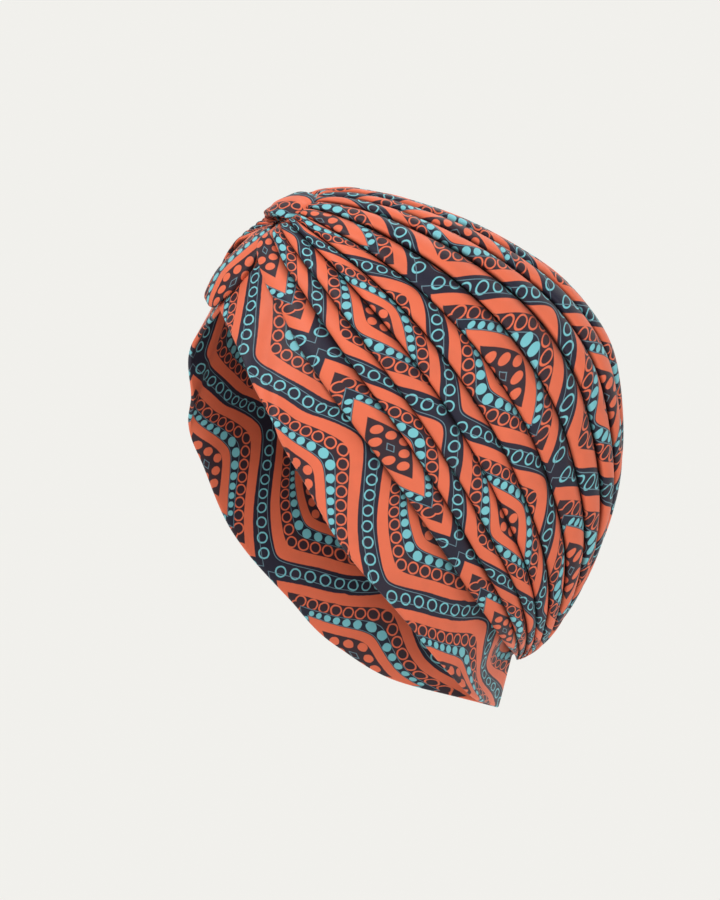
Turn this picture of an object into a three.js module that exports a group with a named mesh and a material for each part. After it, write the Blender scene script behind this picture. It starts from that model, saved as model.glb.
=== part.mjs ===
import * as THREE from "three";

// Turban headwrap: a pleated stretch cap with a twist above the forehead and a short tail at the nape.
// Millimetres, +Z up, the face looks along -Y and the wearer's left is +X.
// The origin is the point of the crown's inner face that rests on the top of the head.

// Overall form
const back_reach = 107; // from the fan axis to the crests at the back of the head
const half_width = 81; // from the mid-plane to the crests at the widest place
const twist_forward = 66; // the gather at the front lies this far in front of the origin
const twist_drop = 2.5; // and this far below it
const nape_back = 66.5; // the gather at the nape lies this far behind the origin
const nape_drop = 206.5; // and this far below it
const pull_forward = 7; // the hem's seam pulls the gather at the nape this far forward
const pull_down = 7.5; // and this far down
const pull_start = 0.7; // share of the sections where that pull begins
const section_roundness = 2.2; // exponent of the sections' superellipse, 2 is an ellipse

// Cloth
const wrap_wall = 2; // gathered jersey of the pleated wraps
const panel_wall = 2.2; // hem panels, folded double
const pleat_rise = 3.5; // crest of a pleat above the grooves beside it
const crest_fullness = 0.6; // below 1 makes the crests broad and the grooves narrow
const cloth_gap = 0.8; // air between two layers that lie on each other
const seam_gap = 0.3; // between left and right pieces along the mid-plane

// Hem panels
const hem_half_width = 68; // from the mid-plane to the hem where it is widest
const hem_forward = 101; // from the origin to the hem at the brow
const tail_drop = 237; // from the origin down to the tip of the tail
const tuck_degrees = 17; // how far a panel runs on beneath the lowest pleat
const tail_join = 0.9; // share of a panel from which its top runs to the mid-plane

// Front twist
const roll_half_width = 12; // rolled front edge that crosses the forehead
const roll_half_thickness = 4.2;
const loop_half_width = 11; // loop that lies over the gathers, measured front to back
const loop_half_thickness = 4;
const loop_radius = 30; // how tightly the loop bends down to both sides
const end_size = 0.62; // share of a band's section left at its rounded ends, and length of the tip beyond

// Mesh density
const wrap_rows = 22;
const columns_per_pleat = 4;
const panel_rows = 26;
const panel_columns = 6;
const tuck_columns = 2;
const band_sides = 14;
const band_rows = 12;
const small_step = 0.004; // share of a path over which a direction is taken
const small_turn = 0.5; // and the same in degrees

// Sections of the pleated dome from the twist to the nape. along is a share of the fan axis, back of
// back_reach, side of half_width and rise of pleat_rise.
const sections = [
  { along: 0.014, back: 0.047, side: 0.062, rise: 0.2 },
  { along: 0.012, back: 0.121, side: 0.13, rise: 0.35 },
  { along: 0.01, back: 0.185, side: 0.19, rise: 0.45 },
  { along: 0.009, back: 0.238, side: 0.258, rise: 0.55 },
  { along: 0.032, back: 0.343, side: 0.37, rise: 0.7 },
  { along: 0.07, back: 0.439, side: 0.506, rise: 0.85 },
  { along: 0.115, back: 0.541, side: 0.617, rise: 1 },
  { along: 0.207, back: 0.715, side: 0.79, rise: 1 },
  { along: 0.315, back: 0.868, side: 0.914, rise: 1 },
  { along: 0.423, back: 0.981, side: 0.975, rise: 1 },
  { along: 0.545, back: 1.02, side: 1, rise: 1 },
  { along: 0.643, back: 0.952, side: 0.994, rise: 1 },
  { along: 0.756, back: 0.797, side: 0.938, rise: 1 },
  { along: 0.836, back: 0.612, side: 0.852, rise: 1 },
  { along: 0.9, back: 0.419, side: 0.716, rise: 0.95 },
  { along: 0.946, back: 0.24, side: 0.556, rise: 0.85 },
  { along: 0.98, back: 0.11, side: 0.37, rise: 0.7 },
  { along: 1, back: 0.05, side: 0.198, rise: 0.45 },
  { along: 1.01, back: 0.03, side: 0.07, rise: 0.2 },
];

// Grooves between the pleats, from the lowest to the crown's centre line. Each value is an angle round
// the fan axis in degrees, counted from the top, near the twist, in the middle and near the nape.
const folds = [
  { front: 143, middle: 120, rear: 120 },
  { front: 125, middle: 110.5, rear: 112.5 },
  { front: 113, middle: 103, rear: 106 },
  { front: 100, middle: 93.5, rear: 101 },
  { front: 91, middle: 83.5, rear: 94 },
  { front: 80, middle: 72, rear: 85 },
  { front: 63, middle: 59, rear: 74 },
  { front: 48, middle: 46, rear: 64 },
  { front: 36, middle: 35, rear: 51 },
  { front: 24, middle: 24, rear: 36 },
  { front: 12, middle: 12, rear: 18 },
  { front: 0, middle: 0, rear: 0 },
];
const fold_stations = { front: 0.197, middle: 0.528, rear: 0.811 };

// Stations of a hem panel from the brow to the tail. along is a share of the panel, wrap is where the
// station meets the lowest pleat as a share of the sections, side is a share of hem_half_width, fore of
// hem_forward and down of tail_drop. bulge is 0 where the panel runs straight from the pleat to the hem
// and 1 where it leaves the pleat along the dome.
const hem = [
  { along: 0, wrap: 0.207, side: 0, fore: 0.943, down: 0.192, bulge: 0 },
  { along: 0.082, wrap: 0.263, side: 0.413, fore: 0.969, down: 0.265, bulge: 0.04 },
  { along: 0.214, wrap: 0.32, side: 0.667, fore: 0.91, down: 0.378, bulge: 0.12 },
  { along: 0.278, wrap: 0.348, side: 0.816, fore: 0.885, down: 0.428, bulge: 0.18 },
  { along: 0.374, wrap: 0.405, side: 0.9, fore: 0.79, down: 0.511, bulge: 0.3 },
  { along: 0.536, wrap: 0.49, side: 1.007, fore: 0.61, down: 0.653, bulge: 0.5 },
  { along: 0.72, wrap: 0.622, side: 1.023, fore: 0.304, down: 0.796, bulge: 0.6 },
  { along: 0.86, wrap: 0.745, side: 0.917, fore: 0.045, down: 0.905, bulge: 0.5 },
  { along: 0.93, wrap: 0.849, side: 0.661, fore: -0.17, down: 0.967, bulge: 0.3 },
  { along: 1, wrap: 0.972, side: 0, fore: -0.505, down: 1.012, bulge: 0 },
];

// Path of the rolled edge from the hem at the brow up to the twist. side and down are shares of
// roll_half_width, fore of twist_forward, width and thickness of the roll's half sizes. tilt, in degrees,
// lifts its right edge over the right hem panel.
const roll = [
  { side: -0.58, fore: 1.48, down: 3.78, width: 0.35, thickness: 0.3, tilt: 8 },
  { side: -0.375, fore: 1.465, down: 3.41, width: 0.6, thickness: 0.55, tilt: 13 },
  { side: -0.167, fore: 1.397, down: 2.87, width: 0.85, thickness: 0.8, tilt: 14 },
  { side: 0, fore: 1.291, down: 2.16, width: 1, thickness: 1, tilt: 9 },
  { side: 0.04, fore: 1.17, down: 1.41, width: 0.8, thickness: 0.95, tilt: 0 },
  { side: 0, fore: 1.06, down: 0.725, width: 0.4, thickness: 0.7, tilt: 0 },
];

// The loop over the gathers, from the right side to the left: turn is in degrees about the bundle, width
// and thickness are shares of the loop's half sizes.
const loop = [
  { turn: -27, width: 0.55, thickness: 0.55 },
  { turn: -15, width: 0.85, thickness: 0.9 },
  { turn: 0, width: 1, thickness: 1 },
  { turn: 14, width: 0.85, thickness: 0.9 },
  { turn: 25, width: 0.5, thickness: 0.55 },
];
const loop_forward = 62; // middle of the loop in front of the origin
const loop_up = 3.6; // and above it
const loop_slope_degrees = 23; // the loop rises towards the back

const cloth = { colour: 0xd4603f, roughness: 0.75, metalness: 0 };

const vec = (x, y, z) => new THREE.Vector3(x, y, z);
const radians = THREE.MathUtils.degToRad;

// Smooth value of a table's column at a place, with slopes weighted by the rows' spacing.
function column(table, key, name, at) {
  const last = table.length - 1;
  const place = Math.min(Math.max(at, table[0][key]), table[last][key]);
  let i = 0;
  while (i < last - 1 && place > table[i + 1][key]) i += 1;
  const step = (j) => table[j + 1][key] - table[j][key];
  const slope = (j) => (table[j + 1][name] - table[j][name]) / step(j);
  const tangent = (j) => {
    if (j === 0) return slope(0);
    if (j === last) return slope(last - 1);
    return (slope(j - 1) * step(j) + slope(j) * step(j - 1)) / (step(j - 1) + step(j));
  };
  const h = step(i);
  const t = (place - table[i][key]) / h;
  return (
    (1 + 2 * t) * (1 - t) ** 2 * table[i][name] +
    t * (1 - t) ** 2 * h * tangent(i) +
    t * t * (3 - 2 * t) * table[i + 1][name] +
    t * t * (t - 1) * h * tangent(i + 1)
  );
}

const numbered = (table) => table.map((row, i) => ({ ...row, place: i / (table.length - 1) }));
const dome = numbered(sections);
const fold_angle = folds.map((fold) =>
  Object.keys(fold_stations).map((name) => ({ place: fold_stations[name], degrees: fold[name] })),
);
const groove = (k, place) => column(fold_angle[k], "place", "degrees", place);

// The fan axis runs from the twist to the nape. Angles are counted from the direction that points up and back.
const twist = vec(0, -twist_forward, -twist_drop);
const nape = vec(0, nape_back, -nape_drop);
const axis = nape.clone().sub(twist);
const upward = vec(0, -axis.z, axis.y).normalize();

// The pull at the nape, rising softly from nothing to the whole of it.
function nape_pull(place) {
  const t = Math.min(Math.max((place - pull_start) / (1 - pull_start), 0), 1);
  return vec(0, -pull_forward, -pull_down).multiplyScalar(t * t * (3 - 2 * t));
}

// A point of the surface that touches the pleats' crests, on the left half.
function crest(place, degrees) {
  const back = back_reach * column(dome, "place", "back", place);
  const side = half_width * column(dome, "place", "side", place);
  const c = Math.cos(radians(degrees));
  const s = Math.sin(radians(degrees));
  const n = section_roundness;
  const reach = (Math.abs(c / back) ** n + Math.abs(s / side) ** n) ** (-1 / n);
  return twist
    .clone()
    .addScaledVector(axis, column(dome, "place", "along", place))
    .addScaledVector(upward, reach * c)
    .add(vec(reach * s, 0, 0))
    .add(nape_pull(place));
}

// The same point moved along the surface's outward normal.
function lifted(place, degrees, lift) {
  const low = Math.max(place - small_step, 0);
  const high = Math.min(place + small_step, 1);
  const along = crest(high, degrees).sub(crest(low, degrees));
  const around = crest(place, degrees + small_turn).sub(crest(place, degrees - small_turn));
  const normal = around.cross(along).normalize();
  if (degrees === 0) normal.setX(0).normalize();
  return crest(place, degrees).addScaledVector(normal, lift);
}

const rise_at = (place) => pleat_rise * column(dome, "place", "rise", place);

// A closed mesh from two grids of points, the outer and the inner face of a cloth.
function shell(name, outer, inner) {
  const rows = outer.length;
  const columns = outer[0].length;
  const points = [...outer.flat(), ...inner.flat()];
  const index = [];
  const out = (i, j) => i * columns + j;
  const inn = (i, j) => rows * columns + i * columns + j;
  const quad = (a, b, c, d) => index.push(a, b, c, a, c, d);
  for (let i = 0; i < rows - 1; i += 1)
    for (let j = 0; j < columns - 1; j += 1) {
      quad(out(i, j), out(i, j + 1), out(i + 1, j + 1), out(i + 1, j));
      quad(inn(i, j), inn(i + 1, j), inn(i + 1, j + 1), inn(i, j + 1));
    }
  for (let i = 0; i < rows - 1; i += 1) {
    quad(out(i, 0), out(i + 1, 0), inn(i + 1, 0), inn(i, 0));
    quad(out(i + 1, columns - 1), out(i, columns - 1), inn(i, columns - 1), inn(i + 1, columns - 1));
  }
  for (let j = 0; j < columns - 1; j += 1) {
    quad(out(0, j + 1), out(0, j), inn(0, j), inn(0, j + 1));
    quad(out(rows - 1, j), out(rows - 1, j + 1), inn(rows - 1, j + 1), inn(rows - 1, j));
  }
  return solid(name, points, index);
}

// A named mesh whose faces look outwards.
function solid(name, points, index) {
  const volume = index.reduce((sum, _, i) => {
    if (i % 3) return sum;
    const [a, b, c] = [points[index[i]], points[index[i + 1]], points[index[i + 2]]];
    return sum + a.dot(b.clone().cross(c));
  }, 0);
  const faces = volume < 0 ? index.map((_, i) => index[i - (i % 3) + 2 - (i % 3)]) : index;
  const geometry = new THREE.BufferGeometry();
  geometry.setAttribute("position", new THREE.Float32BufferAttribute(points.flatMap((p) => [p.x, p.y, p.z]), 3));
  geometry.setIndex(faces);
  geometry.computeVertexNormals();
  const material = new THREE.MeshStandardMaterial({
    color: cloth.colour,
    roughness: cloth.roughness,
    metalness: cloth.metalness,
  });
  const mesh = new THREE.Mesh(geometry, material);
  mesh.name = name;
  return mesh;
}

const mirrored = (grid) => grid.map((row) => row.map((p) => vec(-p.x, p.y, p.z)));
const shares = (count) => Array.from({ length: count + 1 }, (_, i) => i / count);

// Pleated wraps: one pleat after the other from the lowest one up to the crown's centre line.
function wrap_grid(depth) {
  return shares(wrap_rows).map((place) => {
    const row = [];
    for (let k = 0; k < folds.length - 1; k += 1)
      for (let j = k ? 1 : 0; j <= columns_per_pleat; j += 1) {
        const share = j / columns_per_pleat;
        const degrees = groove(k, place) * (1 - share) + groove(k + 1, place) * share;
        const ridge = j % columns_per_pleat ? Math.sin(Math.PI * share) ** crest_fullness : 0;
        const point = lifted(place, degrees, -rise_at(place) * (1 - ridge) - depth);
        row.push(point.add(vec(seam_gap / 2, 0, 0)));
      }
    return row;
  });
}

// Hem panels: from the hem up to the lowest pleat, and on beneath it.
function panel_grid() {
  return shares(panel_rows).map((along) => {
    const at = (name) => column(hem, "along", name, along);
    const place = at("wrap");
    const depth = -rise_at(place) - wrap_wall - cloth_gap;
    const under = (degrees) => lifted(place, degrees, depth).add(vec(seam_gap / 2, 0, 0));
    const edge = groove(0, place);
    const meeting = 1 - THREE.MathUtils.smoothstep(along, tail_join, 1);
    const towards_seam = (point) => point.setX(seam_gap / 2 + (point.x - seam_gap / 2) * meeting);
    const top = towards_seam(under(edge));
    const low = vec(at("side") * hem_half_width + seam_gap / 2, -at("fore") * hem_forward, -at("down") * tail_drop);
    const chord = low.clone().sub(top);
    const length = chord.length();
    const straight = chord.clone().normalize();
    const leave = under(edge + small_turn).sub(under(edge - small_turn)).normalize().lerp(straight, 1 - at("bulge")).normalize();
    const arrive = straight.clone().multiplyScalar(2 * leave.dot(straight)).sub(leave);
    const row = [];
    for (let j = 0; j < panel_columns; j += 1) {
      const t = 1 - j / panel_columns;
      row.push(
        top.clone().multiplyScalar((1 + 2 * t) * (1 - t) ** 2)
          .addScaledVector(leave, length * t * (1 - t) ** 2)
          .addScaledVector(low, t * t * (3 - 2 * t))
          .addScaledVector(arrive, length * t * t * (t - 1)),
      );
    }
    for (let j = 0; j <= tuck_columns; j += 1)
      row.push(towards_seam(under(edge - (tuck_degrees * j) / tuck_columns)));
    return row;
  });
}

// The grid moved inwards by the cloth's thickness, along normals taken from its neighbours.
function thickened(grid, wall) {
  const centre = vec(0, 0, -nape_drop / 2);
  return grid.map((row, i) =>
    row.map((point, j) => {
      const down = grid[Math.min(i + 1, grid.length - 1)][j].clone().sub(grid[Math.max(i - 1, 0)][j]);
      const over = row[Math.min(j + 1, row.length - 1)].clone().sub(row[Math.max(j - 1, 0)]);
      const normal = down.cross(over).normalize();
      if (normal.dot(point.clone().sub(centre)) > 0) normal.negate();
      const moved = point.clone().addScaledVector(normal, wall);
      return moved.setX(Math.max(moved.x, seam_gap / 2));
    }),
  );
}

// A band of elliptical section with rounded ends along a path of stations.
function band(name, stations) {
  const rings = stations.map(({ centre, across, normal, width, thickness }) =>
    Array.from({ length: band_sides }, (_, i) => {
      const turn = (2 * Math.PI * i) / band_sides;
      return centre.clone()
        .addScaledVector(across, width * Math.cos(turn))
        .addScaledVector(normal, thickness * Math.sin(turn));
    }),
  );
  const points = [...rings.flat(), stations[0].tip, stations[stations.length - 1].tip];
  const index = [];
  const at = (i, j) => i * band_sides + (j % band_sides);
  for (let i = 0; i < rings.length - 1; i += 1)
    for (let j = 0; j < band_sides; j += 1)
      index.push(at(i, j), at(i, j + 1), at(i + 1, j + 1), at(i, j), at(i + 1, j + 1), at(i + 1, j));
  for (let j = 0; j < band_sides; j += 1) {
    index.push(points.length - 2, at(0, j + 1), at(0, j));
    index.push(points.length - 1, at(rings.length - 1, j), at(rings.length - 1, j + 1));
  }
  return solid(name, points, index);
}

// Stations with directions and tips, from functions that give the centre and the half sizes.
function stations_of(centre_at, across_of, size_at) {
  return shares(band_rows).map((t) => {
    const centre = centre_at(t);
    const along = centre_at(Math.min(t + small_step, 1)).sub(centre_at(Math.max(t - small_step, 0))).normalize();
    const across = across_of(t, along);
    const end = Math.min(t, 1 - t) * band_rows;
    const taper = end < 1 ? end_size + (1 - end_size) * end : 1;
    const { width, thickness } = size_at(t);
    const tip = centre.clone().addScaledVector(along, (t < 0.5 ? -1 : 1) * thickness * end_size);
    return {
      centre,
      across,
      normal: across.clone().cross(along).normalize(),
      width: width * taper,
      thickness: thickness * taper,
      tip,
    };
  });
}

const roll_path = numbered(roll);
const roll_at = (name, t) => column(roll_path, "place", name, t);
const roll_stations = stations_of(
  (t) => vec(roll_at("side", t) * roll_half_width, -roll_at("fore", t) * twist_forward, -roll_at("down", t) * roll_half_width),
  (t, along) => {
    const level = vec(1, 0, 0).addScaledVector(along, -along.x).normalize();
    return level.applyAxisAngle(along, radians(roll_at("tilt", t)));
  },
  (t) => ({ width: roll_at("width", t) * roll_half_width, thickness: roll_at("thickness", t) * roll_half_thickness }),
);

const loop_path = numbered(loop);
const loop_at = (name, t) => column(loop_path, "place", name, t);
const loop_across = vec(0, Math.cos(radians(loop_slope_degrees)), Math.sin(radians(loop_slope_degrees)));
const loop_up_dir = vec(0, -loop_across.z, loop_across.y);
const loop_centre = vec(0, -loop_forward, loop_up).addScaledVector(loop_up_dir, -loop_radius);
const loop_stations = stations_of(
  (t) => {
    const turn = radians(loop_at("turn", t));
    return loop_centre.clone()
      .addScaledVector(loop_up_dir, loop_radius * Math.cos(turn))
      .add(vec(loop_radius * Math.sin(turn), 0, 0));
  },
  () => loop_across.clone(),
  (t) => ({ width: loop_at("width", t) * loop_half_width, thickness: loop_at("thickness", t) * loop_half_thickness }),
);

const wrap_outer = wrap_grid(0);
const wrap_inner = wrap_grid(wrap_wall);
const panel_outer = panel_grid();
const panel_inner = thickened(panel_outer, panel_wall);

const group = new THREE.Group();
group.name = "turban_headwrap";
group.add(
  shell("left_wrap", wrap_outer, wrap_inner),
  shell("right_wrap", mirrored(wrap_outer), mirrored(wrap_inner)),
  shell("left_hem_panel", panel_outer, panel_inner),
  shell("right_hem_panel", mirrored(panel_outer), mirrored(panel_inner)),
  band("crossing_roll", roll_stations),
  band("twist_loop", loop_stations),
);

export default group;
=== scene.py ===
import math

import bmesh
import bpy
import numpy as np
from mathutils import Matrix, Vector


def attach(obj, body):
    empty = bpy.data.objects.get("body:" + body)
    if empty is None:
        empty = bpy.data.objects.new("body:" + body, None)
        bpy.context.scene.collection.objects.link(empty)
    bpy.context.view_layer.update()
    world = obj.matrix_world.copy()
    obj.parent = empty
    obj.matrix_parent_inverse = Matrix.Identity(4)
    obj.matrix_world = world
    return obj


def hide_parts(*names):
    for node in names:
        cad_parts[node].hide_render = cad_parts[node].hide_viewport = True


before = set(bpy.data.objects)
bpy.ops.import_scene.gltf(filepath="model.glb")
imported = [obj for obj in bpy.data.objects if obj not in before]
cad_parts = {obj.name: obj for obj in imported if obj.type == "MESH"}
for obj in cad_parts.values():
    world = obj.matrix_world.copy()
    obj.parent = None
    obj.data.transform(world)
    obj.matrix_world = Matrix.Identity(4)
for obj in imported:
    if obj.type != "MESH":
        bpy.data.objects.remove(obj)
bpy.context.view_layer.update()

# Left and right wraps. Each half of the cap is one length of printed stretch jersey, gathered in the
# twist above the forehead and again at the nape, so that it falls in eleven soft pleats that lap each
# other. The two halves are sewn together along the middle of the crown.

# The cloth's sizes are in millimetres. The gathers at the twist and at the nape are the ends of the
# wraps' axis, and the hem's seam pulls the nape's forward and down.
TWIST = np.array([0.0, -66.0, -2.5])
NAPE = np.array([0.0, 66.5, -206.5])
NAPE_PULL = np.array([0.0, -7.0, -7.5])
PULL_START = .7
BACK_REACH = 107.0
HALF_WIDTH = 81.0
ROUNDNESS = 2.2
PLEAT_RISE = 3.5
SEAM_GAP = 0.02
JERSEY = 0.7

# Cross-sections of the dome from the twist to the nape: where each lies along the axis, its reach to the
# back and to the side as shares of BACK_REACH and HALF_WIDTH, and its share of PLEAT_RISE.
SECTIONS = {
    "along": [.014, .012, .01, .009, .032, .07, .115, .207, .315, .423, .545, .643, .756, .836, .9, .946,
              .98, 1, 1.01],
    "back": [.047, .121, .185, .238, .343, .439, .541, .715, .868, .981, 1.02, .952, .797, .612, .419,
             .24, .11, .05, .03],
    "side": [.062, .13, .19, .258, .37, .506, .617, .79, .914, .975, 1, .994, .938, .852, .716, .556,
             .37, .198, .07],
    "rise": [.2, .35, .45, .55, .7, .85, 1, 1, 1, 1, 1, 1, 1, 1, .95, .85, .7, .45, .2],
}
PLACES = np.linspace(0, 1, len(SECTIONS["along"]))

# The grooves between the pleats, from the lowest to the middle of the crown. Each has its angle from
# straight up, in degrees, at three places between the twist and the nape.
FOLD_PLACES = [0.197, 0.528, 0.811]
FOLDS = [
    (143, 120, 120), (125, 110.5, 112.5), (113, 103, 106), (100, 93.5, 101), (91, 83.5, 94), (80, 72, 85),
    (63, 59, 74), (48, 46, 64), (36, 35, 51), (24, 24, 36), (12, 12, 18), (0, 0, 0),
]
PLEATS = len(FOLDS) - 1

# One pleat across, from the groove below it to the groove above: the share of its cloth used so far,
# the place between the two grooves, and the height over the crests in pleat rises.
PLEAT_CLOTH = [0, .06, .12, .19, .28, .42, .6, .77, .9, 1]
PLEAT_ACROSS = [.12, .05, -.05, -.05, .06, .29, .56, .79, .95, 1.12]
PLEAT_HEIGHT = [-1.6, -1.1, -.55, -.13, .1, .17, .02, -.38, -.85, -1.6]
CROWN_SEAM_HEIGHT = -.75
LOWEST_EDGE = .12
LOWEST_TUCK = .22
LOWEST_DIP = .25
UNEVENNESS = .35
UNEVEN_ALONG = 16.8
UNEVEN_ACROSS = 2.2
UNEVEN_NEXT_PLEAT = 2.3
# How far below the crests, in pleat rises, the painted shade in the grooves begins.
SHADOW_START = .05

AXIS = NAPE - TWIST
UPWARD = np.array([0, -AXIS[2], AXIS[1]]) / np.hypot(AXIS[1], AXIS[2])
SIDEWAYS = np.array([1.0, 0.0, 0.0])
NEAR_PLACE = .004
NEAR_DEGREES = .5
GOLDEN_ANGLE = 2.399
JOIN_WITHIN_METRES = .000001


def curve(places, values, at):
    """Smooth value at a place, with slopes weighted by the spacing of the places."""
    places, values = np.asarray(places, float), np.asarray(values, float)
    at = np.clip(np.asarray(at, float), places[0], places[-1])
    step = np.diff(places)
    slope = np.diff(values) / step
    tangent = np.concatenate([slope[:1], np.zeros(len(places) - 2), slope[-1:]])
    tangent[1:-1] = (slope[:-1] * step[1:] + slope[1:] * step[:-1]) / (step[:-1] + step[1:])
    i = np.clip(np.searchsorted(places, at) - 1, 0, len(step) - 1)
    t = (at - places[i]) / step[i]
    low = (1 + 2 * t) * (1 - t) ** 2 * values[i] + t * t * (3 - 2 * t) * values[i + 1]
    return low + step[i] * (t * (1 - t) ** 2 * tangent[i] + t * t * (t - 1) * tangent[i + 1])


def section(name, place):
    """A column of the dome's sections at a place from 0, the twist, to 1, the nape."""
    return curve(PLACES, SECTIONS[name], place)


def groove(k, place):
    """The angle of a groove between pleats."""
    return curve(FOLD_PLACES, FOLDS[k], place)


def crest(place, degrees):
    """A point of the surface that touches the pleats' crests, on the wearer's left."""
    place, degrees = np.broadcast_arrays(np.asarray(place, float), np.asarray(degrees, float))
    c, s = np.cos(np.radians(degrees)), np.sin(np.radians(degrees))
    back, side = BACK_REACH * section("back", place), HALF_WIDTH * section("side", place)
    reach = (np.abs(c / back) ** ROUNDNESS + np.abs(s / side) ** ROUNDNESS) ** (-1 / ROUNDNESS)
    along = section("along", place)[..., None]
    on_axis = TWIST + AXIS * along + nape_pull(place)
    return on_axis + UPWARD * (reach * c)[..., None] + SIDEWAYS * (reach * s)[..., None]


def lifted(place, degrees, lift):
    """The same point moved along the surface's outward normal."""
    place, degrees, lift = np.broadcast_arrays(*(np.asarray(x, float) for x in (place, degrees, lift)))
    onward, before = np.minimum(place + NEAR_PLACE, 1), np.maximum(place - NEAR_PLACE, 0)
    along = crest(onward, degrees) - crest(before, degrees)
    around = crest(place, degrees + NEAR_DEGREES) - crest(place, degrees - NEAR_DEGREES)
    normal = np.cross(around, along)
    normal /= np.linalg.norm(normal, axis=-1, keepdims=True)
    return crest(place, degrees) + normal * lift[..., None]


def waves(x, y, seed):
    """Soft uneven relief from -1 to 1, the same on every run."""
    total = np.zeros(np.broadcast(x, y).shape)
    for n in range(1, 6):
        turn = seed * 1.7 + n * GOLDEN_ANGLE
        way = n ** .7
        total += np.sin(way * (x * math.cos(turn) + y * math.sin(turn)) + 3.1 * n * seed) / way ** .6
    return total / 2.6


def smooth_step(at, low, high):
    """From 0 at low to 1 at high, with a soft start and end."""
    t = np.clip((at - low) / (high - low), 0, 1)
    return t * t * (3 - 2 * t)


def nape_pull(place):
    """The pull of the hem's seam on the gather at the nape."""
    return smooth_step(place, PULL_START, 1)[..., None] * NAPE_PULL


def length_along(points):
    """The length run so far at each point, down the first axis."""
    steps = np.linalg.norm(np.diff(points, axis=0), axis=-1)
    return np.concatenate([np.zeros((1,) + steps.shape[1:]), np.cumsum(steps, axis=0)])


def cloth(name, points, print_place, depth, mirror=False, closed=False):
    """A sheet of cloth from a grid of points in millimetres, its outer face first, with the print's
    place in repeats as its UV map and the painted shade of its folds, from 0 to 1, as an attribute.
    A closed one is a tube whose long edges and ends are joined."""
    points = np.array(points, float)
    if mirror:
        points[..., 0] *= -1
    rows, columns = points.shape[:2]
    index = np.arange(rows * columns).reshape(rows, columns)
    quads = np.stack([index[:-1, :-1], index[:-1, 1:], index[1:, 1:], index[1:, :-1]], -1).reshape(-1, 4)
    if not mirror:
        quads = quads[:, ::-1]
    mesh = bpy.data.meshes.new(name)
    mesh.from_pydata((points.reshape(-1, 3) * .001).tolist(), [], quads.tolist())
    mesh.polygons.foreach_set("use_smooth", np.ones(len(quads), bool))
    layer = mesh.uv_layers.new(name="print")
    layer.data.foreach_set("uv", np.asarray(print_place, float).reshape(-1, 2)[quads.ravel()].ravel())
    painted_shade_layer = mesh.attributes.new("painted_fold_shade", "FLOAT", "POINT")
    painted_shade_layer.data.foreach_set("value", np.asarray(depth, float).ravel())
    if closed:
        edit = bmesh.new()
        edit.from_mesh(mesh)
        bmesh.ops.remove_doubles(edit, verts=edit.verts, dist=JOIN_WITHIN_METRES)
        edit.to_mesh(mesh)
        edit.free()
    piece = bpy.data.objects.new(name, mesh)
    bpy.context.scene.collection.objects.link(piece)
    for material in (right_side, wrong_side):
        mesh.materials.append(material)
    solid = piece.modifiers.new("thickness", "SOLIDIFY")
    solid.thickness = JERSEY * .001
    solid.offset = -1
    solid.material_offset = 1
    solid.material_offset_rim = 0
    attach(piece, "root")
    return piece


class Value:
    """A number that changes over the surface, so that shader maths reads as plain maths."""

    def __init__(self, tree, socket):
        self.tree, self.socket = tree, socket

    def node(self, kind, settings, inputs):
        made = self.tree.nodes.new(kind)
        for name, setting in settings.items():
            setattr(made, name, setting)
        for name, value in inputs.items():
            if isinstance(value, Value):
                self.tree.links.new(value.socket, made.inputs[name])
            else:
                made.inputs[name].default_value = value
        return made

    def maths(self, operation, *others):
        made = self.node("ShaderNodeMath", {"operation": operation}, dict(enumerate((self, *others))))
        return Value(self.tree, made.outputs[0])

    def __add__(self, other):
        return self.maths("ADD", other)

    __radd__ = __add__

    def __mul__(self, other):
        return self.maths("MULTIPLY", other)

    __rmul__ = __mul__

    def __sub__(self, other):
        return self.maths("SUBTRACT", other)

    def __rsub__(self, other):
        return (self * -1) + other

    def __truediv__(self, other):
        return self.maths("DIVIDE", other)

    def __abs__(self):
        return self.maths("ABSOLUTE")

    def root(self):
        return self.maths("SQRT")

    def sine(self):
        return self.maths("SINE")

    def whole(self):
        return self.maths("ROUND")

    def least(self, other):
        return self.maths("MINIMUM", other)

    def over(self, other):
        return self.maths("GREATER_THAN", other)

    def clear(self):
        """Kept between 0 and 1."""
        return self.least(1).maths("MAXIMUM", 0)

    def mix(self, first, second):
        """The first colour where this is 0 and the second where it is 1."""
        settings = {"data_type": "RGBA", "clamp_factor": True}
        made = self.node("ShaderNodeMix", settings, {0: self, 6: first, 7: second})
        return Value(self.tree, made.outputs[2])

    def faded(self, share, into):
        """This colour with a fixed share of another one."""
        made = self.node("ShaderNodeMix", {"data_type": "RGBA"}, {0: share, 6: self, 7: into})
        return Value(self.tree, made.outputs[2])


def colour(red, green, blue):
    """Linear colour from the eye's 0 to 255 scale."""
    return tuple((c / 255 / 12.92 if c < 10.3 else ((c / 255 + .055) / 1.055) ** 2.4)
                 for c in (red, green, blue)) + (1.0,)


ORANGE = colour(236, 114, 80)
NAVY = colour(35, 34, 52)
INK = colour(30, 36, 54)
PLUM = colour(54, 37, 46)
CYAN = colour(124, 202, 212)
PALE = colour(112, 146, 160)
FOLD_SHADOW = colour(30, 12, 18)
FADED_INK = colour(206, 190, 190)
CLOUDING = colour(90, 60, 60)

# The print repeats along and across the cloth, and between four lozenges stands a fifth. Their corners
# are blunt. The knit's stitches are a wale wide and a course high.
REPEAT_LONG = 120.0
REPEAT_WIDE = 86.0
SOFT_EDGE = .22
BLUNT_CORNER = 3.4
BLUNT_SHIFT = .6
FINE_LINE = .14
WALE = 1.1
COURSE = .8


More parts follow.
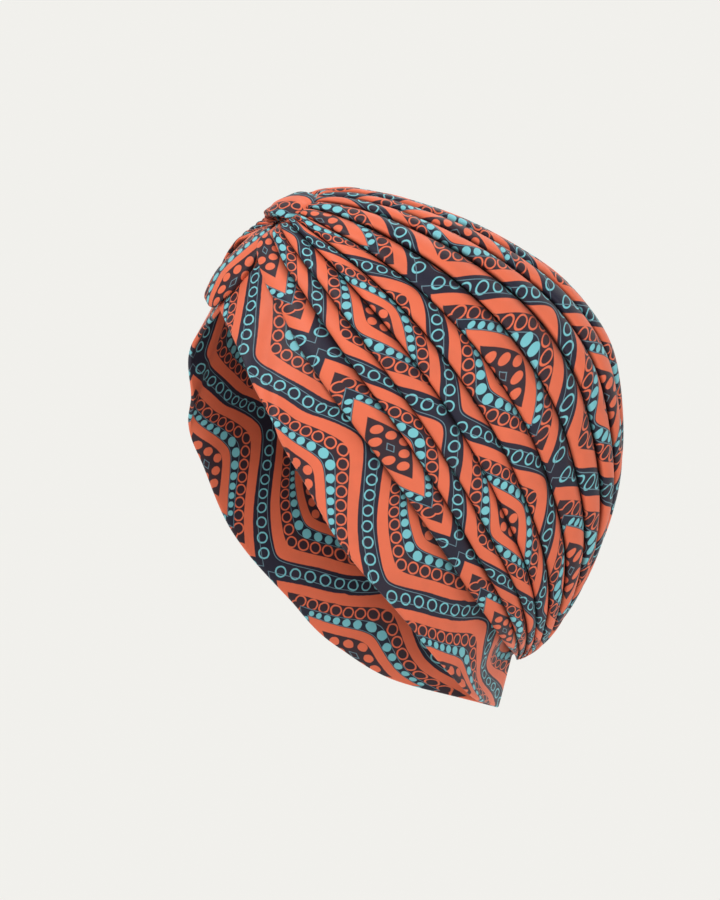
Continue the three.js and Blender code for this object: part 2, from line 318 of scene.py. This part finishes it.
def printed_jersey(name, reverse=False):
    """Jersey printed with rows of nested lozenges, dots and rings. The reverse side shows the print
    faded through the cloth. Painted shade darkens the grooves between the pleats and the panel
    beneath the lowest pleat."""
    material = bpy.data.materials.new(name)
    material.use_nodes = True
    tree = material.node_tree
    tree.nodes.clear()
    start = Value(tree, None)
    place = start.node("ShaderNodeUVMap", {"uv_map": "print"}, {})
    split = start.node("ShaderNodeSeparateXYZ", {}, {0: Value(tree, place.outputs[0])})
    along, across = Value(tree, split.outputs[0]), Value(tree, split.outputs[1])

    x = abs(along - along.whole())
    y = abs(across - across.whole())
    other = (x + y).over(.5)
    x = (x + other * (.5 - 2 * x)) * REPEAT_LONG
    y = (y + other * (.5 - 2 * y)) * REPEAT_WIDE
    blunt = (x * x + BLUNT_CORNER ** 2).root() - BLUNT_SHIFT

    def beyond(long, wide):
        """Distance outside the lozenge with these half diagonals, in millimetres."""
        return (blunt * wide + y * long - long * wide) / math.hypot(long, wide)

    def inside(long, wide):
        """1 in the lozenge and 0 outside it."""
        return (.5 - beyond(long, wide) / SOFT_EDGE).clear()

    def line(long, wide, half=FINE_LINE):
        """The lozenge's outline."""
        return ((half - abs(beyond(long, wide))) / SOFT_EDGE + .5).clear()

    def beads(long, wide, count, first, last, shift=0.0, gather=0.0, start_bead=0, end_bead=20):
        """Distance outside round beads set along the lozenge's sides, growing to the blunt corners and
        gathered closer at its tips. Beads before start_bead and after end_bead are left out."""
        side = math.hypot(long, wide)
        run = ((long - x) * long + y * wide) / side ** 2
        off = (x * wide + y * long - long * wide) / side
        cell = run * (1 + gather - gather * run) * count + shift
        bead = cell.whole().maths("MAXIMUM", start_bead).least(end_bead)
        near = (cell - bead) * (side / count) / (1 + gather - 2 * gather * run)
        return (near * near + off * off).root() - (first + run * (last - first))

    def disc(distance):
        """Filled beads."""
        return (.5 - distance / SOFT_EDGE).clear()

    def hoop(distance, half):
        """Beads that are rings, drawn with a line of this half width."""
        return ((half - abs(distance)) / SOFT_EDGE + .5).clear()

    def spike(long, wide, half):
        """The outline of a lozenge with sharp corners."""
        away = (x * wide + y * long - long * wide) / math.hypot(long, wide)
        return ((half - abs(away)) / SOFT_EDGE + .5).clear()

    # The lozenges from the outermost to the innermost, each over the one before. The first two numbers
    # are half its diagonals, along and across.
    shade = hoop(beads(60, 43, 10, 2.45, 2.45, start_bead=1, end_bead=9), .36).mix(NAVY, CYAN)
    shade = line(57.9, 37.4).mix(shade, PALE)
    shade = inside(52, 36.4).mix(shade, ORANGE)
    shade = inside(44.1, 29).mix(shade, PLUM)
    shade = hoop(beads(39.6, 24.9, 7.5, 2.5, 2.5, shift=.5, start_bead=1), .38).mix(shade, ORANGE)
    shade = inside(35.4, 21.4).mix(shade, INK)
    shade = line(34.8, 20.9).mix(shade, PALE)
    shade = disc(beads(31.9, 18, 7.5, 1.15, 2.45, gather=.3, start_bead=1)).mix(shade, CYAN)
    shade = line(28.8, 15.2).mix(shade, PALE)
    shade = inside(28.2, 14.6).mix(shade, ORANGE)
    shade = inside(18, 9.8).mix(shade, PLUM)
    shade = disc(beads(10.8, 6, 2, 2.2, 2.2)).mix(shade, ORANGE)
    shade = spike(2.6, 1.4, .16).mix(shade, PALE)

    painted_shade_node = start.node("ShaderNodeAttribute", {"attribute_name": "painted_fold_shade"}, {})
    depth = Value(tree, painted_shade_node.outputs["Fac"])
    # Painted shade: the cloth is darkened towards FOLD_SHADOW in the grooves between the pleats and where
    # the panel runs on beneath the lowest pleat.
    shade = (depth * .85).clear().mix(shade, FOLD_SHADOW)
    if reverse:
        shade = shade.faded(.45, FADED_INK)

    body = start.node("ShaderNodeTexCoord", {}, {})
    solid_place = Value(tree, body.outputs["Object"])
    cloudy = start.node("ShaderNodeTexNoise", {}, {"Vector": solid_place, "Scale": 60.0, "Detail": 3.0})
    cloud = Value(tree, cloudy.outputs["Fac"])
    shade = ((cloud - .5) * .5).clear().mix(shade, CLOUDING)

    wale = (along * (REPEAT_LONG * 2 * math.pi / WALE)).sine()
    course = (across * (REPEAT_WIDE * 2 * math.pi / COURSE)).sine()
    knit = (wale * course + 1) * .5
    fine = start.node("ShaderNodeTexNoise", {}, {"Vector": solid_place, "Scale": 1400.0, "Detail": 2.0})
    height = knit * .6 + Value(tree, fine.outputs["Fac"]) * .4
    bump = start.node("ShaderNodeBump", {}, {"Strength": .22, "Distance": .0003, "Height": height})
    creased = start.node("ShaderNodeTexNoise", {}, {"Vector": solid_place, "Scale": 110.0, "Detail": 3.0})
    second = start.node("ShaderNodeBump", {}, {
        "Strength": .25, "Distance": .0016, "Height": Value(tree, creased.outputs["Fac"]),
        "Normal": Value(tree, bump.outputs[0]),
    })
    surface = start.node("ShaderNodeBsdfPrincipled", {}, {
        "Base Color": shade, "Roughness": cloud * .25 + .42, "Normal": Value(tree, second.outputs[0]),
        "Sheen Weight": .06, "Sheen Roughness": .4, "Specular IOR Level": .3,
    })
    start.node("ShaderNodeOutputMaterial", {}, {"Surface": Value(tree, surface.outputs[0])})
    return material


right_side = printed_jersey("printed_jersey")
wrong_side = printed_jersey("printed_jersey_reverse", reverse=True)

# Where the print lies on the wraps: the cloth's width at some of the pleats, and along them its start,
# its stretch and how far it has slid on the pleats behind the ear.
WRAP_ROWS = 190
PLEAT_SAMPLES = 15
PRINT_PLEATS = [0, 3, 5.25, 11]
PRINT_WIDTHS = [-8.6, 43, 86, 172]
PRINT_START = 27.5
PRINT_STRETCH = 1.04
PRINT_DRIFT = 13.0


def pleat_profile(k, t):
    """The place between its two grooves, and the height in pleat rises, of a share of a pleat's cloth.
    The lowest pleat's edge is tucked under, and the last pleat runs out at the crown's seam."""
    across = curve(PLEAT_CLOTH, PLEAT_ACROSS, t)
    height = curve(PLEAT_CLOTH, PLEAT_HEIGHT, t)
    if k == PLEATS - 1 and t > .5:
        across = curve([.5, 1], [curve(PLEAT_CLOTH, PLEAT_ACROSS, .5), 1], t)
        height = curve([.5, 1], [curve(PLEAT_CLOTH, PLEAT_HEIGHT, .5), CROWN_SEAM_HEIGHT], t)
    if k == 0:
        tucked = max(0, 1 - t / LOWEST_EDGE)
        across = across + LOWEST_TUCK * tucked
        height = height - LOWEST_DIP * tucked
    return across, height


def wrap_cloth():
    """The points, the print's place and the painted shade of the folds of the wearer's left wrap."""
    place = np.linspace(0, 1, WRAP_ROWS)
    rise = PLEAT_RISE * section("rise", place)
    groove_run = [length_along(crest(place, groove(k, place))) for k in range(PLEATS + 1)]
    columns, prints, painted_fold_shades = [], [], []
    for k in range(PLEATS):
        low, high = groove(k, place), groove(k + 1, place)
        for t in np.linspace(0, 1, PLEAT_SAMPLES)[min(k, 1):]:
            across, height = pleat_profile(k, t)
            uneven = waves(place * UNEVEN_ALONG, k * UNEVEN_NEXT_PLEAT + t * UNEVEN_ACROSS, 1 + k % 3)
            uneven = UNEVENNESS * rise / PLEAT_RISE * uneven
            columns.append(lifted(place, low + (high - low) * across, rise * height + uneven))
            width = np.interp(k + t, PRINT_PLEATS, PRINT_WIDTHS)
            length = groove_run[k] + (groove_run[k + 1] - groove_run[k]) * t
            drift = PRINT_DRIFT * smooth_step(k + t, 2, 5.5) * smooth_step(place, .51, .75)
            length = (length - PRINT_START) * PRINT_STRETCH + drift
            prints.append(np.stack([length / REPEAT_LONG, np.full_like(place, width / REPEAT_WIDE)], -1))
            # Painted shade in the grooves: the deeper the cloth lies below the crests, the darker it is
            # painted.
            painted_fold_shades.append(np.full_like(place, np.clip(-SHADOW_START - height, 0, 1)))
    points = np.stack(columns, 1)
    points[..., 0] = np.maximum(points[..., 0], 0) + SEAM_GAP / 2
    return points, np.stack(prints, 1), np.stack(painted_fold_shades, 1)


wrap = wrap_cloth()
for name, node, mirror in (("left_wrap_cloth", "left_wrap", False),
                           ("right_wrap_cloth", "right_wrap", True)):
    piece = cloth(name, *wrap, mirror)
    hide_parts(node)


# Hem panels. The lowest part of each side is smooth jersey folded double, with the fold as its lower
# edge. It comes out from beneath the lowest pleat, frames the face and ends in the short tail, where
# the two sides are sewn together.

HEM_HALF_WIDTH = 68.0
HEM_FORWARD = 101.0
TAIL_DROP = 237.0
TUCK_DEGREES = 17.0
TAIL_JOIN = .9
PANEL_DEPTH = 2.4
PANEL_LAYERS = 1.3
HEM_ROLL = .95
PANEL_ROWS = 150
PANEL_COLUMNS = 34
TUCK_COLUMNS = 8
PANEL_UNEVENNESS = .3
TAIL_START = .8
PANEL_PRINT_START = 105.4
PANEL_PRINT_STRETCH = .984
PANEL_PRINT_DRIFT = 5.0
PANEL_PRINT_EDGE = 2.6
PANEL_DRIFT_RUN = (120, 190)
PANEL_UNEVEN_ALONG = 9
PANEL_UNEVEN_ACROSS = .05
FOLD_TURNS = np.radians([150, 120, 90, 60, 30])
FOLD_PRINT = (-1.2, -.3)
INNER_PRINT = -1.5
FINE_ROWS = 900
FINE_ROWS_ONWARD = 200
INSIDE_DOME = np.array([0, 0, -100.0])

# The hem from the brow to the tail's tip: the share of its length, the wrap's place above it, how far it
# lies to the side, forward and down as shares of HEM_HALF_WIDTH, HEM_FORWARD and TAIL_DROP, and how
# roundly the panel leaves the pleat.
HEM = {
    "along": [0, .082, .214, .278, .374, .536, .72, .86, .93, 1],
    "wrap": [.207, .263, .32, .348, .405, .49, .622, .745, .849, .972],
    "side": [0, .413, .667, .816, .9, 1.007, 1.023, .917, .661, 0],
    "fore": [.943, .969, .91, .885, .79, .61, .304, .045, -.17, -.505],
    "down": [.192, .265, .378, .428, .511, .653, .796, .905, .967, 1.012],
    "bulge": [0, .04, .12, .18, .3, .5, .6, .5, .3, 0],
}


def unit(v):
    """Vectors of length 1."""
    return v / np.linalg.norm(v, axis=-1, keepdims=True)


def hem_surface(rows):
    """Outer face of a panel, from the hem up to the lowest pleat and on beneath it."""
    along = np.linspace(0, 1, rows)
    at = {name: curve(HEM["along"], HEM[name], along) for name in HEM}
    place = at["wrap"]
    depth = -PLEAT_RISE * section("rise", place) - PANEL_DEPTH
    edge = groove(0, place)
    meeting = 1 - smooth_step(along, TAIL_JOIN, 1)

    def under(degrees):
        return lifted(place, degrees, depth)

    def towards_seam(points):
        points = points.copy()
        points[..., 0] = SEAM_GAP / 2 + points[..., 0] * meeting
        return points

    top = towards_seam(under(edge))
    low = np.stack([at["side"] * HEM_HALF_WIDTH + SEAM_GAP / 2, -at["fore"] * HEM_FORWARD,
                    -at["down"] * TAIL_DROP], -1)
    chord = low - top
    length = np.linalg.norm(chord, axis=-1, keepdims=True)
    straight = chord / length
    bulge = at["bulge"][:, None]
    onward = unit(under(edge + NEAR_DEGREES) - under(edge - NEAR_DEGREES))
    leave = unit(onward * bulge + straight * (1 - bulge))
    arrive = straight * (2 * (leave * straight).sum(-1, keepdims=True)) - leave
    grid = []
    for j in range(PANEL_COLUMNS):
        t = 1 - j / PANEL_COLUMNS
        grid.append(top * ((1 + 2 * t) * (1 - t) ** 2) + leave * length * (t * (1 - t) ** 2)
                    + low * (t * t * (3 - 2 * t)) + arrive * length * (t * t * (t - 1)))
    for j in range(TUCK_COLUMNS + 1):
        grid.append(towards_seam(under(edge - TUCK_DEGREES * j / TUCK_COLUMNS)))
    return along, np.stack(grid, 1)


def normals_of(points, away_from):
    """Normals of a grid of points, on the side that faces away from a point."""
    down = np.gradient(points, axis=0)
    over = np.gradient(points, axis=1)
    normal = unit(np.cross(down, over))
    return normal * np.sign(((points - away_from) * normal).sum())


def unrolled(along, points):
    """The panel with its tail laid flat instead of curving in to the mid-plane, to place the print."""
    points = points.copy()
    hem = points[:, 0, 0]
    widest = np.interp(TAIL_START, along, hem)
    points[..., 0] += np.where(along > TAIL_START, widest - hem, 0)[:, None]
    return points


def panel_print(along, outer):
    """How far along the hem and how far up from it each point of a panel lies, with the tail laid
    flat and the hem carried on beyond the tip."""
    flat, hem = unrolled(along, outer), unrolled(*hem_surface(FINE_ROWS))[:, 0]
    onward = hem[-1] + (hem[-1] - hem[-2]) * np.arange(1, FINE_ROWS_ONWARD + 1)[:, None]
    hem = np.concatenate([hem, onward])
    gaps = np.linalg.norm(flat[:, :, None] - hem, axis=-1)
    run = length_along(hem)[gaps.argmin(-1)]
    drift = PANEL_PRINT_DRIFT * smooth_step(run, *PANEL_DRIFT_RUN)
    return (run - PANEL_PRINT_START) * PANEL_PRINT_STRETCH - drift, gaps.min(-1)


def hem_cloth():
    """The points, the print's place and the painted shade of the wearer's left panel, darkest where it
    runs on beneath the lowest pleat. The grid runs down its inner layer, round the fold at the hem and
    up its outer layer."""
    along, outer = hem_surface(PANEL_ROWS)
    run, from_hem = panel_print(along, outer)
    normal = normals_of(outer, INSIDE_DOME)
    across = length_along(outer.transpose(1, 0, 2)).T
    uneven = waves(along[:, None] * PANEL_UNEVEN_ALONG, across * PANEL_UNEVEN_ACROSS, 4)
    relief = PANEL_UNEVENNESS * uneven * np.clip(across / 12, 0, 1)
    outer = outer + normal * relief[..., None]
    inner = outer - normal * (PANEL_LAYERS + JERSEY)
    half = (PANEL_LAYERS + JERSEY) / 2
    middle = outer[:, 0] - normal[:, 0] * half
    downward = unit(outer[:, 0] - outer[:, 1])
    fold = np.stack([middle + normal[:, 0] * half * math.cos(turn) + downward * HEM_ROLL * math.sin(turn)
                     for turn in FOLD_TURNS], 1)
    points = np.concatenate([inner[:, ::-1], fold, outer], 1)
    points[..., 0] = np.maximum(points[..., 0], SEAM_GAP / 2)
    fold_side = np.broadcast_to(np.linspace(*FOLD_PRINT, fold.shape[1]), fold.shape[:2])
    width = np.concatenate([INNER_PRINT - from_hem[:, ::-1], fold_side, from_hem], 1)
    length = np.concatenate([run[:, ::-1], np.repeat(run[:, :1], fold.shape[1], 1), run], 1)
    print_place = np.stack([length / REPEAT_LONG, (width + PANEL_PRINT_EDGE) / REPEAT_WIDE], -1)
    # Painted shade: the panel is darkened where it runs on beneath the lowest pleat.
    shade_beneath_pleat = np.clip((across - across[:, PANEL_COLUMNS - 1:PANEL_COLUMNS]) / 3 + .5, 0, 1)
    depth = np.concatenate([np.zeros(inner.shape[:2]), np.zeros(fold.shape[:2]), shade_beneath_pleat], 1)
    return points, print_place, depth


panel = hem_cloth()
for name, node, mirror in (("left_hem_cloth", "left_hem_panel", False),
                           ("right_hem_cloth", "right_hem_panel", True)):
    piece = cloth(name, *panel, mirror)
    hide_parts(node)


# Crossing roll. The front edge of the wearer's right half is rolled over softly. It comes up from the
# hem at the brow, crosses the forehead and goes into the twist beneath the lowest left pleat.

ROLL_HALF_WIDTH = 12.0
ROLL_HALF_THICKNESS = 4.2
ROLL_ROWS = 90
ROLL_RIDGES = .05
TUBE_SIDES = 96
DRAWN_END = 12
RIDGES_ROUND = 3.4
RIDGES_ALONG = .06

# The roll from the brow up to the twist: its middle to the side and down in half widths and forward as a
# share of the twist's place, its width and thickness as shares of the half ones, and its tilt in degrees.
ROLL = {
    "side": [-.58, -.375, -.167, 0, .04, 0],
    "fore": [1.48, 1.465, 1.397, 1.291, 1.17, 1.06],
    "down": [3.78, 3.41, 2.87, 2.16, 1.41, .725],
    "width": [.35, .6, .85, 1, 1, .8],
    "thickness": [.3, .55, .8, 1, .95, .7],
    "tilt": [8, 13, 14, 9, 0, 0],
}
ROLL_PRINT_AT = 16.0
ROLL_PRINT_EDGE = 16.0


def turned(vectors, about, degrees):
    """Vectors turned about an axis by so many degrees."""
    angle = np.radians(degrees)[..., None]
    return (vectors * np.cos(angle) + np.cross(about, vectors) * np.sin(angle)
            + about * (about * vectors).sum(-1, keepdims=True) * (1 - np.cos(angle)))


def tube(centre, across, normal, width, thickness, ridges, seed, print_at, print_edge):
    """A soft roll of cloth: an oval section with shallow lengthwise folds, drawn together at its ends.
    Gives its points, the print's place on it and its painted fold shade, which is none."""
    t = np.linspace(0, 1, len(centre))
    drawn = np.clip(np.minimum(t, 1 - t) * DRAWN_END, 0, 1) ** .5
    turns = np.linspace(-math.pi / 2, 3 * math.pi / 2, TUBE_SIDES + 1)
    run = length_along(centre)
    fold = 1 + ridges * waves(RIDGES_ROUND * np.cos(turns)[None],
                              RIDGES_ROUND * np.sin(turns)[None] + run[:, None] * RIDGES_ALONG, seed)
    half_width = ((width * drawn)[:, None] * fold)[..., None]
    half_thickness = ((thickness * drawn)[:, None] * fold)[..., None]
    points = (centre[:, None] + across[:, None] * half_width * np.cos(turns)[None, :, None]
              + normal[:, None] * half_thickness * np.sin(turns)[None, :, None])
    around = length_along(points[np.argmax(width * drawn)])
    length = np.broadcast_to((run[:, None] - print_at) / REPEAT_LONG, points.shape[:2])
    width_place = np.broadcast_to((around[None] - print_edge) / REPEAT_WIDE, points.shape[:2])
    return points, np.stack([length, width_place], -1), np.zeros(points.shape[:2])


def roll_cloth():
    """The points, the print's place and the painted fold shade of the roll."""
    t = np.linspace(0, 1, ROLL_ROWS)
    places = np.linspace(0, 1, len(ROLL["side"]))
    side, fore, down, width, thickness, tilt = (curve(places, ROLL[name], t) for name in ROLL)
    centre = np.stack([side * ROLL_HALF_WIDTH, fore * TWIST[1], -down * ROLL_HALF_WIDTH], -1)
    along = unit(np.gradient(centre, axis=0))
    across = turned(unit(SIDEWAYS - along * along[:, :1]), along, tilt)
    normal = unit(np.cross(across, along))
    return tube(centre, across, normal, width * ROLL_HALF_WIDTH, thickness * ROLL_HALF_THICKNESS,
                ROLL_RIDGES, 3, ROLL_PRINT_AT, ROLL_PRINT_EDGE)


piece = cloth("crossing_roll_cloth", *roll_cloth(), closed=True)
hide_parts("crossing_roll")


# Twist loop. The two halves are looped round each other at the top of the front, and this loop of the
# gathered cloth lies over the gathers and holds them.

LOOP_HALF_WIDTH = 11.0
LOOP_HALF_THICKNESS = 4.0
LOOP_RADIUS = 30.0
LOOP_ROWS = 80
LOOP_RIDGES = .13

# The loop from the right to the left: its turn about the arch's middle in degrees, and its width and
# thickness as shares of the half ones.
LOOP = {
    "turn": [-34, -17, 0, 17, 34],
    "width": [.6, .9, 1, .95, .75],
    "thickness": [.55, .9, 1, .9, .55],
}
LOOP_MIDDLE = np.array([0, -59.8, 2.6])
LOOP_PRINT_AT = 31.0
LOOP_PRINT_EDGE = -1.5
LOOP_SLOPE = math.radians(23)


def loop_cloth():
    """The points, the print's place and the painted fold shade of the loop."""
    t = np.linspace(0, 1, LOOP_ROWS)
    places = np.linspace(0, 1, len(LOOP["turn"]))
    turn, width, thickness = (curve(places, LOOP[name], t) for name in LOOP)
    over = np.array([0, math.cos(LOOP_SLOPE), math.sin(LOOP_SLOPE)])
    up = np.array([0, -over[2], over[1]])
    turn = np.radians(turn)[:, None]
    centre = LOOP_MIDDLE + up * LOOP_RADIUS * (np.cos(turn) - 1) + SIDEWAYS * LOOP_RADIUS * np.sin(turn)
    across = np.broadcast_to(-over, centre.shape)
    normal = unit(np.cross(across, unit(np.gradient(centre, axis=0))))
    return tube(centre, across, normal, width * LOOP_HALF_WIDTH, thickness * LOOP_HALF_THICKNESS,
                LOOP_RIDGES, 5, LOOP_PRINT_AT, LOOP_PRINT_EDGE)


piece = cloth("twist_loop_cloth", *loop_cloth(), closed=True)
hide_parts("twist_loop")


# Floor, light and camera. A pale floor runs up to a pale backdrop. Large soft lights stand in front on
# either side and one high behind. The sizes in this section are in metres.

PAPER = colour(241, 240, 236)
PAPER_SHADE = colour(6, 6, 6)
STAGE_SIZE = 14
FLOOR_HEIGHT = -.3
BACKDROP_FAR = 3.0

paper = bpy.data.materials.new("paper")
paper.use_nodes = True
shader = paper.node_tree.nodes["Principled BSDF"]
shader.inputs["Base Color"].default_value = PAPER_SHADE
shader.inputs["Roughness"].default_value = 1.0
shader.inputs["Specular IOR Level"].default_value = 0.0
shader.inputs["Emission Color"].default_value = PAPER
shader.inputs["Emission Strength"].default_value = 1.0

world = bpy.data.worlds.new("studio")
bpy.context.scene.world = world
world.use_nodes = True
backlight = world.node_tree.nodes["Background"]
backlight.inputs["Color"].default_value = PAPER
backlight.inputs["Strength"].default_value = .35
bpy.context.scene.view_settings.view_transform = "Standard"

# The camera stands on the wearer's left, a little in front, and looks almost level.
AZIMUTH = math.radians(66)
ELEVATION = math.radians(2)
backward = np.array([math.sin(AZIMUTH) * math.cos(ELEVATION), -math.cos(AZIMUTH) * math.cos(ELEVATION),
                     math.sin(ELEVATION)])
rightward = np.array([math.cos(AZIMUTH), math.sin(AZIMUTH), 0])
upward = np.cross(backward, rightward)
WRAP_MIDDLE = (0, 0, -.11)
CAMERA_AIM = np.array([0, 0, -.1085]) - rightward * .0211 - upward * .0058
CAMERA_FAR = 1.62

bpy.ops.object.select_all(action="DESELECT")
for name, place, tip, turn in (("floor", (0, 0, FLOOR_HEIGHT), 0, 0),
                               ("backdrop", tuple(backward * -BACKDROP_FAR), math.pi / 2, AZIMUTH)):
    bpy.ops.mesh.primitive_plane_add(size=STAGE_SIZE, location=place, rotation=(tip, 0, turn))
    plane = bpy.context.object
    plane.name = name
    plane.data.materials.append(paper)


def soft_light(name, place, size, power):
    """A round light that faces the wrap, placed so far towards the camera, to its right and up."""
    lamp = bpy.data.lights.new(name, "AREA")
    lamp.shape = "DISK"
    lamp.size = size
    lamp.energy = power
    stand = bpy.data.objects.new(name, lamp)
    bpy.context.scene.collection.objects.link(stand)
    at = backward * place[0] + rightward * place[1] + np.array([0, 0, place[2]])
    stand.location = at
    direction = Vector(WRAP_MIDDLE) - Vector(at)
    stand.rotation_euler = direction.to_track_quat("-Z", "Y").to_euler()


soft_light("key_light", (.85, -.45, .85), .5, 10.5)
soft_light("fill_light", (.8, .9, .2), .9, 3)
soft_light("back_light", (-.6, .2, .9), .8, 3)

camera = bpy.data.cameras.new("camera")
camera.lens = 135
camera.sensor_width = 36
camera.clip_start = .05
camera.clip_end = 50
holder = bpy.data.objects.new("camera", camera)
bpy.context.scene.collection.objects.link(holder)
holder.location = CAMERA_AIM + backward * CAMERA_FAR
holder.rotation_mode = "QUATERNION"
holder.rotation_quaternion = Vector(backward).to_track_quat("Z", "Y")
bpy.context.scene.camera = holder
